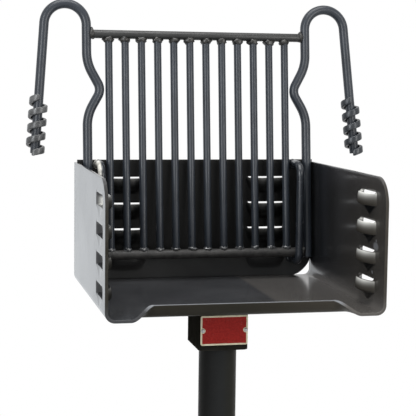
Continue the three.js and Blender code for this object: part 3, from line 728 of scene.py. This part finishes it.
def support_bracket(material):
    """A channel under the floor whose web faces the front."""
    half = bracket_high.x
    front, rear = bracket_low.y, bracket_high.y
    middle = BRACKET_BEND + PLATE / 2
    bend_x, bend_y = -half + BRACKET_BEND + PLATE, front + BRACKET_BEND + PLATE
    path = [Vector((-half + PLATE / 2, rear)), Vector((-half + PLATE / 2, bend_y))]
    path += [Vector((bend_x - middle * c, bend_y - middle * s)) for c, s in QUARTER_BEND]
    path.append(Vector((bend_x, front + PLATE / 2)))
    path += [Vector((-p.x, p.y)) for p in reversed(path)]
    levels = even(bracket_high.z, bracket_low.z, 13 * MM)
    points = [Vector((p.x, p.y, z)) for p in path for z in levels]
    faces = grid_faces(len(path), len(levels))
    return thick_sheet("bracket_channel", points, faces, material)


def name_plate(material):
    """A bare enamelled plate with a raised border and a boss round each rivet."""
    half_x = plate_high.x
    half_z = (plate_high.z - plate_low.z) / 2
    centre_z = (plate_high.z + plate_low.z) / 2
    corner = 3 * MM
    columns = even(-half_x, half_x, 1 * MM)
    levels = even(half_z, -half_z, 1 * MM)
    border = 2.7 * MM
    rise = 0.35 * MM
    boss = 4.1 * MM
    rivet_x = half_x - 3.4 * MM
    crown_height, crown_width = 0.25 * MM, 1.2 * MM
    blend = 0.8 * MM
    verts, paint = [], []
    count = len(columns)
    for z in levels:
        for x in columns:
            inside_x, inside_z = half_x - abs(x), half_z - abs(z)
            px, pz = x, z
            if inside_x < corner and inside_z < corner:
                a, b = 1 - inside_x / corner, 1 - inside_z / corner
                px = copysign(half_x - corner + corner * a * sqrt(1 - b * b / 2), x)
                pz = copysign(half_z - corner + corner * b * sqrt(1 - a * a / 2), z)
            edge = min(inside_x, inside_z)
            near = boss - hypot(abs(x) - rivet_x, z)
            raised = smooth((max(border - edge, near) + blend / 2) / blend)
            crown = crown_height * smooth(edge / crown_width)
            y = plate_low.y + rise + crown_height - rise * raised - crown
            verts.append((px, y, centre_z + pz))
            paint.append(raised)
    faces = grid_faces(len(levels), count, flip=True)
    front_total = len(verts)
    rim = [*range(count), *range(2 * count - 1, front_total, count)]
    rim += [*range(front_total - 2, front_total - count - 1, -1), *range(front_total - 2 * count, 0, -count)]
    for i in rim:
        verts.append((verts[i][0], plate_high.y, verts[i][2]))
    paint += [1.0] * len(rim)
    back = [*range(front_total, len(verts))]
    faces += [(a, b, d, c) for a, b, c, d in zip(rim, rim[1:] + rim[:1], back, back[1:] + back[:1])]
    faces.append(tuple(back))
    obj = mesh_object("name_plate_enamel", verts, faces, material, 60)
    add_attribute(obj, "paint", paint)
    return obj


def rivet_head(name, material):
    low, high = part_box(name)
    centre = (low + high) / 2
    radius = (high.z - low.z) / 2
    verts = []
    for i in range(RIVET_STEPS + 1):
        a = pi / 2 * i / RIVET_STEPS
        r, y = radius * cos(a), low.y + RIVET_HEIGHT * (1 - sin(a))
        verts += [(centre.x + r * c, y, centre.z + r * s) for c, s in circle(RIVET_SIDES)]
    faces = grid_faces(RIVET_STEPS + 1, RIVET_SIDES, ring=True) + [tuple(reversed(range(RIVET_SIDES)))]
    obj = mesh_object(f"{name}_head", verts, faces, material, 50)
    merge_close(obj, SAME_POINT)
    return obj


# Paint colours and marks, with painted light and shade among them
# Painted light on the upper front of the walls
UPPER_FRONT_LIGHT = (0.034, 0.034, 0.038)
DUST = (0.060, 0.057, 0.052)
WORN = (0.062, 0.058, 0.052)
# Ash colour on the floor, also painted fill light
FLOOR_ASH_AND_LIGHT = (0.056, 0.057, 0.061)
# Painted fill light low on the back plate
BACK_FILL_LIGHT = (0.040, 0.040, 0.040)
BROWN = (0.056, 0.049, 0.041)
# Paler colour on the low floor right of x = 7 cm
PALE_FLOOR_PATCH = (0.115, 0.106, 0.097)
# Painted glint on the left guide rod's arch
ARCH_GLINT = (0.74, 0.71, 0.64)
# Painted shadow under the side tabs, scuffs with a painted highlight on the lip's edge, and painted highlights on
# the tab lips
MARK_COLOURS = {"painted_tab_shadow": (0.0018, 0.0018, 0.0018), "scuff_and_rim_highlight": (0.19, 0.195, 0.205), "lip": (0.88, 0.865, 0.81)}


class Nodes:
    """Adds and joins shader nodes. A value is a number, a colour or another node's output."""

    def __init__(self, name, owner=None):
        self.owner = owner or bpy.data.materials.new(name)
        self.owner.use_nodes = True
        self.tree = self.owner.node_tree
        self.shader = self.tree.nodes.get("Principled BSDF")
        self.coordinates = self.node("ShaderNodeTexCoord", "Object", {})

    def feed(self, socket, value):
        if isinstance(value, bpy.types.NodeSocket):
            self.tree.links.new(value, socket)
        else:
            socket.default_value = (*value, 1.0) if isinstance(value, tuple) else value

    def node(self, kind, output, inputs, **settings):
        """An output of a new node."""
        node = self.tree.nodes.new(kind)
        for key, value in settings.items():
            setattr(node, key, value)
        for key, value in inputs.items():
            self.feed(node.inputs[key], value)
        return node.outputs[output]

    def noise(self, scale, detail=3.0, rough=0.55):
        inputs = {"Vector": self.coordinates, "Scale": scale, "Detail": detail, "Roughness": rough}
        return self.node("ShaderNodeTexNoise", "Fac", inputs)

    def spread(self, value, low, high, start, end):
        """From low to high, while the value goes from start to end."""
        inputs = {"Value": value, "From Min": start, "From Max": end, "To Min": low, "To Max": high}
        return self.node("ShaderNodeMapRange", "Result", inputs)

    def patches(self, scale, detail=3.0, rough=0.55, low=0, high=1, start=0.3, end=0.7):
        return self.spread(self.noise(scale, detail, rough), low, high, start, end)

    def maths(self, operation, first, second):
        return self.node("ShaderNodeMath", "Value", {0: first, 1: second}, operation=operation, use_clamp=True)

    def times(self, *factors):
        product = factors[0]
        for factor in factors[1:]:
            product = self.maths("MULTIPLY", product, factor)
        return product

    def mix(self, share, first, second):
        return self.node("ShaderNodeMix", "Result", {"Factor": share, "A": first, "B": second}, data_type="RGBA")

    def layers(self, colour, *layers):
        """Each layer's colour, by its share, over the colour below it."""
        for share, paint in layers:
            colour = self.mix(share, colour, paint)
        return colour

    def attribute(self, name):
        return self.node("ShaderNodeAttribute", "Fac", {}, attribute_name=name)

    def place(self, axis, start, end):
        """0 to 1 along an axis of the object, from start to end."""
        return self.spread(self.node("ShaderNodeSeparateXYZ", axis, {0: self.coordinates}), 0, 1, start, end)

    def bump(self, height, strength, distance):
        inputs = {"Height": height, "Strength": strength, "Distance": distance}
        normal = self.shader.inputs["Normal"]
        if normal.is_linked:
            inputs["Normal"] = normal.links[0].from_socket
        self.feed(normal, self.node("ShaderNodeBump", "Normal", inputs))

    def finish(self, colour, roughness, metallic=0.0, specular=0.5):
        inputs = self.shader.inputs
        self.feed(inputs["Base Color"], colour)
        self.feed(inputs["Roughness"], roughness)
        inputs["Metallic"].default_value = metallic
        inputs["Specular IOR Level"].default_value = specular
        return self.owner

    def seen_directly(self):
        """1 for camera, glossy and transmission rays, else 0."""
        rays = self.tree.nodes.new("ShaderNodeLightPath").outputs
        mirrored = self.maths("MAXIMUM", rays["Is Glossy Ray"], rays["Is Transmission Ray"])
        return self.maths("MAXIMUM", rays["Is Camera Ray"], mirrored)

    def end_with(self, share, first, second):
        """Show the first shader, and the second where the share is 1."""
        mix = self.node("ShaderNodeMixShader", "Shader", {0: share, 1: first, 2: second})
        output = next(n for n in self.tree.nodes if n.bl_idname.startswith("ShaderNodeOutput"))
        self.feed(output.inputs["Surface"], mix)


def sheet_enamel(name, dark, light, specular, rough, ash_and_light_colour=FLOOR_ASH_AND_LIGHT, pale_patch=0.6):
    """Black enamel on plate, with faint dust, worn edges, ash lightened as painted fill light, painted light high
    at the front, a paler floor patch, and painted tab shadows and highlights.
    """
    n = Nodes(name)
    ash_and_fill_light = n.attribute("ash_and_fill_light")
    dust = n.patches(230, 2, 0.7, 0, 0.35, 0.66, 0.8)
    colour = n.layers(
        dark,
        (n.patches(7, 4), light),
        # Painted light on the upper front of the walls
        (n.times(n.place("Z", 0.94, 0.985), n.place("Y", 0.12, 0.04)), UPPER_FRONT_LIGHT),
        (dust, DUST),
        (n.times(n.attribute("wear"), n.patches(55, 5, 0.7, 0.1, 1, 0.38, 0.62), 0.45), WORN),
        # Ash low down, which is also painted fill light
        (n.times(ash_and_fill_light, n.patches(11, 5, 0.6, 0.55, 1, 0.35, 0.65)), ash_and_light_colour),
        (n.times(n.place("X", 0, 0.19), n.place("Y", 0.1, -0.12), 0.6), BROWN),
        # Paler low down, right of x = 7 cm
        (n.times(ash_and_fill_light, n.place("X", 0.07, 0.077), pale_patch), PALE_FLOOR_PATCH),
        # Painted shadows and highlights, and scuffs, from the marks
        *((n.attribute(mark), paint) for mark, paint in MARK_COLOURS.items()))
    rough = n.maths("ADD", n.patches(9, 3, 0.5, *rough, 0.32, 0.68), n.times(dust, 0.4))
    n.bump(n.noise(300, 2), 0.07, 0.4 * MM)
    n.bump(n.noise(5, 1), 0.05, 4 * MM)
    return n.finish(colour, rough, specular=specular)


def bar_enamel(name, dark, light, specular, rough, bump):
    """Satin enamel on rod, with a few pale specks."""
    n = Nodes(name)
    colour = n.layers(dark, (n.patches(22, 4, 0.6), light),
                      (n.patches(420, 2, 0.8, 0, 0.5, 0.66, 0.8), (0.14, 0.14, 0.14)))
    n.bump(n.noise(260, 3, 0.6), bump, 0.5 * MM)
    return n.finish(colour, n.patches(40, 4, 0.6, *rough), specular=specular)


def guide_enamel():
    """Gloss enamel, with a painted glint on the left guide rod's arch."""
    rod_x = sum(c.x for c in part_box("guide_rod_left")) / 2
    n = Nodes("guide_enamel")
    arch_glint_zone = n.times(n.place("Z", 0.957, 0.968), n.place("X", rod_x, rod_x - 2.5 * MM))
    colour = n.layers((0.013, 0.0155, 0.0195), (n.patches(22, 4, 0.6), (0.023, 0.027, 0.033)),
                      (n.times(arch_glint_zone, n.patches(90, 3, 0.6, 0.6, 1, 0.35, 0.55)), ARCH_GLINT))
    n.bump(n.noise(260, 3, 0.6), 0.12, 0.5 * MM)
    return n.finish(colour, n.patches(40, 4, 0.6, 0.18, 0.3), specular=0.45)


def post_enamel():
    """Black enamel with painted shade on its left side and painted light, tinted olive, toward its right."""
    n = Nodes("post_enamel")
    mottle = n.patches(16, 4, 0.6)
    shaded_left = n.mix(mottle, (0.006, 0.006, 0.0058), (0.0085, 0.0085, 0.008))
    lit_middle = n.mix(mottle, (0.0145, 0.0152, 0.0155), (0.019, 0.0195, 0.019))
    lit_right = n.mix(mottle, (0.0165, 0.016, 0.012), (0.0215, 0.0205, 0.016))
    # Painted shade on the left, painted light toward the right
    colour = n.layers(shaded_left, (n.place("X", -0.024, -0.004), lit_middle), (n.place("X", 0.002, 0.02), lit_right),
                      (n.patches(420, 2, 0.8, 0, 0.35, 0.66, 0.8), (0.06, 0.058, 0.05)))
    n.bump(n.noise(240, 3, 0.6), 0.12, 0.5 * MM)
    return n.finish(colour, n.patches(40, 4, 0.6, 0.34, 0.48), specular=0.05)


def mottled(name, dark, light, patches, grain, bump, rough, **finish):
    """Patches of two colours, with a fine grain and uneven roughness."""
    n = Nodes(name)
    colour = n.mix(n.patches(*patches), dark, light)
    n.bump(n.noise(*grain), *bump)
    return n.finish(colour, n.patches(*rough), **finish)


def weld_metal(name, dark, light, rough, specular):
    """Painted weld beads, lighter where the paint is thin."""
    return mottled(name, dark, light, (160, 4, 0.7, 0, 1, 0.4, 0.68), (170, 3, 0.6), (0.5, 1 * MM),
                   (120, 3, 0.55, *rough), specular=specular)


def grip_steel():
    """Worn steel strip, with painted shade making the right grip darker and bluer."""
    n = Nodes("grip_steel")
    colour = n.layers((0.02, 0.021, 0.0225),
                      (n.patches(48, 4, 0.65, start=0.36, end=0.62), (0.105, 0.106, 0.106)),
                      # Painted shade on the right grip
                      (n.times(n.place("X", -0.05, 0.05), 0.8), (0.018, 0.022, 0.0275)))
    n.bump(n.noise(120, 3, 0.6), 0.22, 0.7 * MM)
    return n.finish(colour, n.patches(90, 4, low=0.24, high=0.42), metallic=0.2, specular=0.4)


def bare_metal(name, dark, light, rough):
    return mottled(name, dark, light, (60, 4, 0.6), (260,), (0.2, 0.4 * MM),
                   (130, 3, 0.55, *rough), metallic=0.85)


def plate_enamel():
    """Dark red enamel inside a raised cream border."""
    n = Nodes("plate_enamel")
    red = n.mix(n.patches(330, 5, 0.7, start=0.36, end=0.64), (0.185, 0.008, 0.006), (0.285, 0.015, 0.011))
    cream = n.mix(n.patches(140, 4), (0.5, 0.45, 0.31), (0.68, 0.63, 0.47))
    edge = n.maths("ADD", n.attribute("paint"), n.patches(500, low=-0.18, high=0.18))
    colour = n.layers(red, (n.spread(edge, 0, 1, 0.42, 0.58), cream),
                      (n.patches(240, 4, 0.75, 0, 0.8, 0.66, 0.72), (0.2, 0.17, 0.14)))
    n.bump(n.noise(420, 4, 0.7), 0.25, 0.3 * MM)
    return n.finish(colour, n.patches(90, 4, low=0.3, high=0.5), specular=0.12)


# Light, floor and camera
def area_light(name, location, target, size, power, colour=(1, 1, 1)):
    """A rectangular lamp that faces the target."""
    data = bpy.data.lights.new(name, "AREA")
    data.shape = "RECTANGLE"
    data.size, data.size_y = size
    data.energy = power
    data.color = colour
    obj = linked(name, data)
    obj.location = location
    obj.rotation_euler = (Vector(target) - obj.location).to_track_quat("-Z", "Y").to_euler()


def make_world():
    """Soft bluish light on surfaces, and plain white where the world is seen."""
    world = bpy.data.worlds.new("studio")
    bpy.context.scene.world = world
    n = Nodes("studio", world)
    soft = n.node("ShaderNodeBackground", "Background", {"Color": (0.90, 0.95, 1.0), "Strength": 0.40})
    white = n.node("ShaderNodeBackground", "Background", {"Color": (1, 1, 1), "Strength": 1.0})
    n.end_with(n.seen_directly(), soft, white)


def make_floor():
    """A round pale floor that fades to white at its edge."""
    radius, sides = 1.5, 96
    fade_start, fade_end = 0.55 * radius, 0.98 * radius
    verts = [(0, 0, 0)] + [(radius * c, radius * s, 0) for c, s in circle(sides)]
    faces = [(0, 1 + k, 1 + (k + 1) % sides) for k in range(sides)]
    n = Nodes("pale_floor")
    colour = n.mix(n.patches(9.0, 4.0), (0.80, 0.80, 0.79), (0.86, 0.86, 0.85))
    n.finish(colour, n.patches(14.0, low=0.7, high=0.85), specular=0.2)
    distance = n.node("ShaderNodeVectorMath", "Value", {0: n.coordinates}, operation="LENGTH")
    share = n.times(n.spread(distance, 0, 1, fade_start, fade_end), n.seen_directly())
    glow = n.node("ShaderNodeEmission", "Emission", {"Color": (1, 1, 1), "Strength": 1.0})
    n.end_with(share, n.shader.outputs["BSDF"], glow)
    mesh_object("floor", verts, faces, n.owner)


def make_camera():
    """The photograph's view, fitted to its post, plate edges and bars."""
    place = Vector((-456.4, -1943.7, 1125.8)) * MM
    yaw, pitch, roll = (radians(a) for a in (12.694, 5.826, 0.712))
    focal_pixels, image_pixels, sensor = 1263.64, 416, 36.0
    forward = Vector((sin(yaw) * cos(pitch), cos(yaw) * cos(pitch), -sin(pitch)))
    right = forward.cross(Z).normalized()
    up = right.cross(forward)
    tilted_right = right * cos(roll) + up * sin(roll)
    tilted_up = up * cos(roll) - right * sin(roll)
    data = bpy.data.cameras.new("camera")
    data.sensor_width = sensor
    data.sensor_fit = "HORIZONTAL"
    data.lens = focal_pixels / image_pixels * sensor
    camera = linked("camera", data)
    turn = Matrix((tilted_right, tilted_up, -forward)).transposed()
    camera.matrix_world = Matrix.Translation(place) @ turn.to_4x4()
    bpy.context.scene.camera = camera


def stand_for(piece, slot, body, *nodes):
    """Give a piece its body and hide the CAD nodes that it replaces. The slot is not used."""
    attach(piece, body)
    if nodes:
        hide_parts(*nodes)


make_camera()
make_world()
make_floor()

wall_paint = sheet_enamel("wall_enamel", (0.011, 0.0115, 0.0125), (0.019, 0.02, 0.0225), 0.4, (0.14, 0.2))
lip_paint = sheet_enamel("lip_enamel", (0.016, 0.0145, 0.011), (0.024, 0.0215, 0.0165), 0.05, (0.3, 0.42))
tab_paint = sheet_enamel("tab_enamel", (0.011, 0.0105, 0.0095), (0.02, 0.019, 0.0165), 0, (0.35, 0.5))
back_paint = sheet_enamel("back_enamel", (0.0095, 0.0095, 0.0095), (0.015, 0.015, 0.0145),
                          0.16, (0.3, 0.42), BACK_FILL_LIGHT, 0)
under_paint = sheet_enamel("bracket_enamel", (0.0075, 0.007, 0.0054), (0.013, 0.012, 0.0094),
                           0, (0.42, 0.58))
bar_paint = bar_enamel("bar_enamel", (0.0172, 0.0206, 0.0262), (0.0265, 0.0316, 0.0395),
                       0.34, (0.27, 0.36), 0.08)
front_paint = bar_enamel("front_rod_enamel", (0.0125, 0.0128, 0.0123), (0.024, 0.0244, 0.0233),
                         0.38, (0.34, 0.46), 0.1)
post_paint = post_enamel()
base_paint = bar_enamel("base_enamel", (0.009, 0.009, 0.009), (0.018, 0.018, 0.017), 0.3, (0.34, 0.5), 0.15)
rod_paint = mottled("burnt_rod", (0.01, 0.0098, 0.0095), (0.04, 0.038, 0.036),
                    (75, 5, 0.7, 0, 1, 0.32, 0.66), (210, 5, 0.7), (0.5, 0.9 * MM),
                    (50, 4, 0.55, 0.45, 0.75), specular=0.4)
guide_paint = guide_enamel()
weld_paint = weld_metal("weld_metal", (0.008, 0.008, 0.0075), (0.034, 0.032, 0.028), (0.2, 0.42), 0.42)
# Foot weld beads painted lighter as a painted glint, with a glossier finish
foot_paint = weld_metal("bright_weld", (0.03, 0.031, 0.033), (0.12, 0.122, 0.125), (0.12, 0.3), 0.8)
grip_paint = grip_steel()
steel = bare_metal("bare_steel", (0.26, 0.265, 0.27), (0.42, 0.42, 0.42), (0.28, 0.45))
bronze = bare_metal("bronze", (0.2, 0.11, 0.035), (0.31, 0.18, 0.065), (0.35, 0.55))
plate_paint = plate_enamel()

# Firebox
stand_for(firebox_shell(wall_paint, lip_paint, tab_paint), "wall_enamel", "firebox", "firebox_shell")
stand_for(back_plate(back_paint), "wall_enamel", "firebox", "back_plate")
stand_for(support_bracket(under_paint), "black_enamel", "firebox", "support_bracket")
stand_for(name_plate(plate_paint), "plate_red", "firebox", "name_plate")
for _, word in SIDES:
    node = f"name_plate_rivet_{word}"
    stand_for(rivet_head(node, steel), "bare_steel", "firebox", node)
    rod, rod_welds = guide_rod(f"guide_rod_{word}", guide_paint)
    stand_for(rod, "bar_enamel", "firebox", f"guide_rod_{word}")
    stand_for(rod_welds, "bar_enamel", "firebox")

# Grate
half_crossbar = rear_high.x
front_middle = front_axis - grate_up * (FRAME_BAR - FRONT_ROD)
crossing = [X * (half_crossbar * share) for share in (-1, 0, 1)]
rear_rod = tube("rear_rod", [rear_axis + c for c in crossing], FRAME_BAR, rod_paint, Z)
stand_for(rear_rod, "bar_enamel", "grate_carrier", "rear_crossbar")
front_rod = tube("front_rod", [front_middle + c for c in crossing], FRONT_ROD, front_paint, Z)
stand_for(front_rod, "bar_enamel", "grate", "front_crossbar")
foot_beads, top_beads = [], []
for i in range(12):
    node = f"cooking_bar_{i + 1:02d}"
    x = sum(c.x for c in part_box(node)) / 2
    end = FRAME_BAR + TOUCH
    points = [on_grate(x, end + (grate_length - 2 * end) * k / 6) for k in range(7)]
    stand_for(tube(f"{node}_round", points, COOKING_BAR, bar_paint, X), "bar_enamel", "grate", node)
    shift = 3.2 * MM * noise.noise(Vector((i * 1.3, 0.2, 4.1)))
    foot = on_grate(x + 0.3 * shift, FRAME_BAR + 0.5 * MM)
    top = on_grate(x - shift, grate_length - FRAME_BAR - 1.5 * MM)
    foot_beads.append(lump(foot, X, grate_up, (7.8 * MM, 7.2 * MM, 5.2 * MM), i + 0.5, 0.34))
    top_beads.append(lump(top, X, grate_up, (9.2 * MM, 8.0 * MM, 6.6 * MM), i + 20.5, 0.42))
for side in (-1, 1):
    for along in (0.0, grate_length):
        joint = on_grate(side * (half_crossbar - 0.4 * MM), along)
        top_beads.append(lump(joint, grate_up, X, (9.4 * MM, 8.9 * MM, 6.2 * MM), side * 7 + along * 9, 0.34))
stand_for(beads("foot_welds", foot_beads, foot_paint), "bar_enamel", "grate")
stand_for(beads("top_welds", top_beads, weld_paint), "bar_enamel", "grate")
for side, word in SIDES:
    stand_for(side_bar(side, f"side_bar_{word}_round", bar_paint), "bar_enamel", "grate", f"side_bar_{word}")
    stand_for(grip_coil(side, f"grip_strip_{word}", grip_paint), "grip_steel", "grate", f"grip_coil_{word}")

# Post and base
post_radius = post_high.x
bore, skin = post_radius - PIPE_WALL, post_radius - PIPE_EASE
foot_z, top_z = post_low.z, post_high.z
profile = [(bore, foot_z), (skin, foot_z), (post_radius, foot_z + PIPE_EASE),
           (post_radius, top_z - PIPE_EASE), (skin, top_z), (bore, top_z)]
stand_for(turned("post_round", profile, post_paint), "black_enamel", "post", "post_pipe")
for node in ("upper_bushing", "lower_bushing", "pivot_spindle", "thrust_washer", "retaining_collar"):
    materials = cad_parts[node].data.materials
    materials.clear()
    materials.append(bronze if "bushing" in node else steel)
stand_for(eased("base_plate", 1.2 * MM, base_paint), "black_enamel", "post", "base_plate")
base_beads = []
plate_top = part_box("base_plate")[1].z
weld_z = plate_top + WELD_SUNK
for i in range(4):
    node = f"base_gusset_{i + 1}"
    stand_for(eased(node, 0.8 * MM, base_paint), "black_enamel", "post", node)
    low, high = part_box(node)
    quarter = pi / 2 * i
    out = Vector((cos(quarter), sin(quarter), 0))
    beside = Vector((-out.y, out.x, 0))
    reach = max(abs(low.x), abs(high.x), abs(low.y), abs(high.y)) - 3 * MM
    for side in (-1, 1):
        off = beside * (side * GUSSET_WELD_OFF)
        root = out * post_radius + off
        foot = [root + Z * weld_z, out * reach + off + Z * weld_z]
        stem = [root + Z * (plate_top + 5 * MM), root + Z * (high.z - 4 * MM)]
        base_beads += weld_run(foot, GUSSET_WELD, 11 + 3 * i + side)
        base_beads += weld_run(stem, GUSSET_WELD, 31 + 3 * i + side)
    turn = [quarter + radians(12 + 66 * k / 8) for k in range(9)]
    ring = [Vector((cos(a) * post_radius, sin(a) * post_radius, weld_z)) for a in turn]
    base_beads += weld_run(ring, RING_WELD, 51 + 5 * i)
stand_for(beads("base_welds", base_beads, weld_paint), "black_enamel", "post")

# Welds under the firebox and at its rear corners
box_beads = []
half = bracket_high.x
seam_z = FLOOR_Z - WELD_SUNK
for side in (-1, 1):
    seam = [Vector((side * half, y, seam_z)) for y in (bracket_low.y + SEAM_INSET, bracket_high.y)]
    box_beads += weld_run(seam, SEAM_WELD, 71 + side)
    for k in range(3):
        z = TACK_FIRST_Z + TACK_PITCH * k
        tack = [Vector((side * INNER_X, REAR_Y - 0.6 * MM, height)) for height in (z, z + TACK_LENGTH)]
        box_beads += weld_run(tack, TACK_WELD, 81 + side + 4 * k)
front_seam = [Vector((side * (half - SEAM_INSET), bracket_low.y, seam_z)) for side in (-1, 1)]
box_beads += weld_run(front_seam, FRONT_SEAM_WELD, 95)
stand_for(beads("firebox_welds", box_beads, weld_paint), "black_enamel", "firebox")

# Lamps
middle = (0, 0, 0.95)
area_light("left_box", (-2.0, -2.0, 1.7), middle, (1.0, 1.8), 50, (0.95, 0.975, 1))
area_light("right_box", (1.7, -2.3, 1.5), middle, (1.0, 1.8), 34, (1, 0.985, 0.96))
area_light("top_box", (-0.1, -0.5, 3.1), middle, (1.8, 1.6), 50)
area_light("rear_box", (-1.1, 3.2, 0.9), (-0.2, 0.0, 0.87), (2.2, 2.0), 2.2, (0.55, 0.78, 1))

bpy.context.scene.view_settings.view_transform = "Standard"
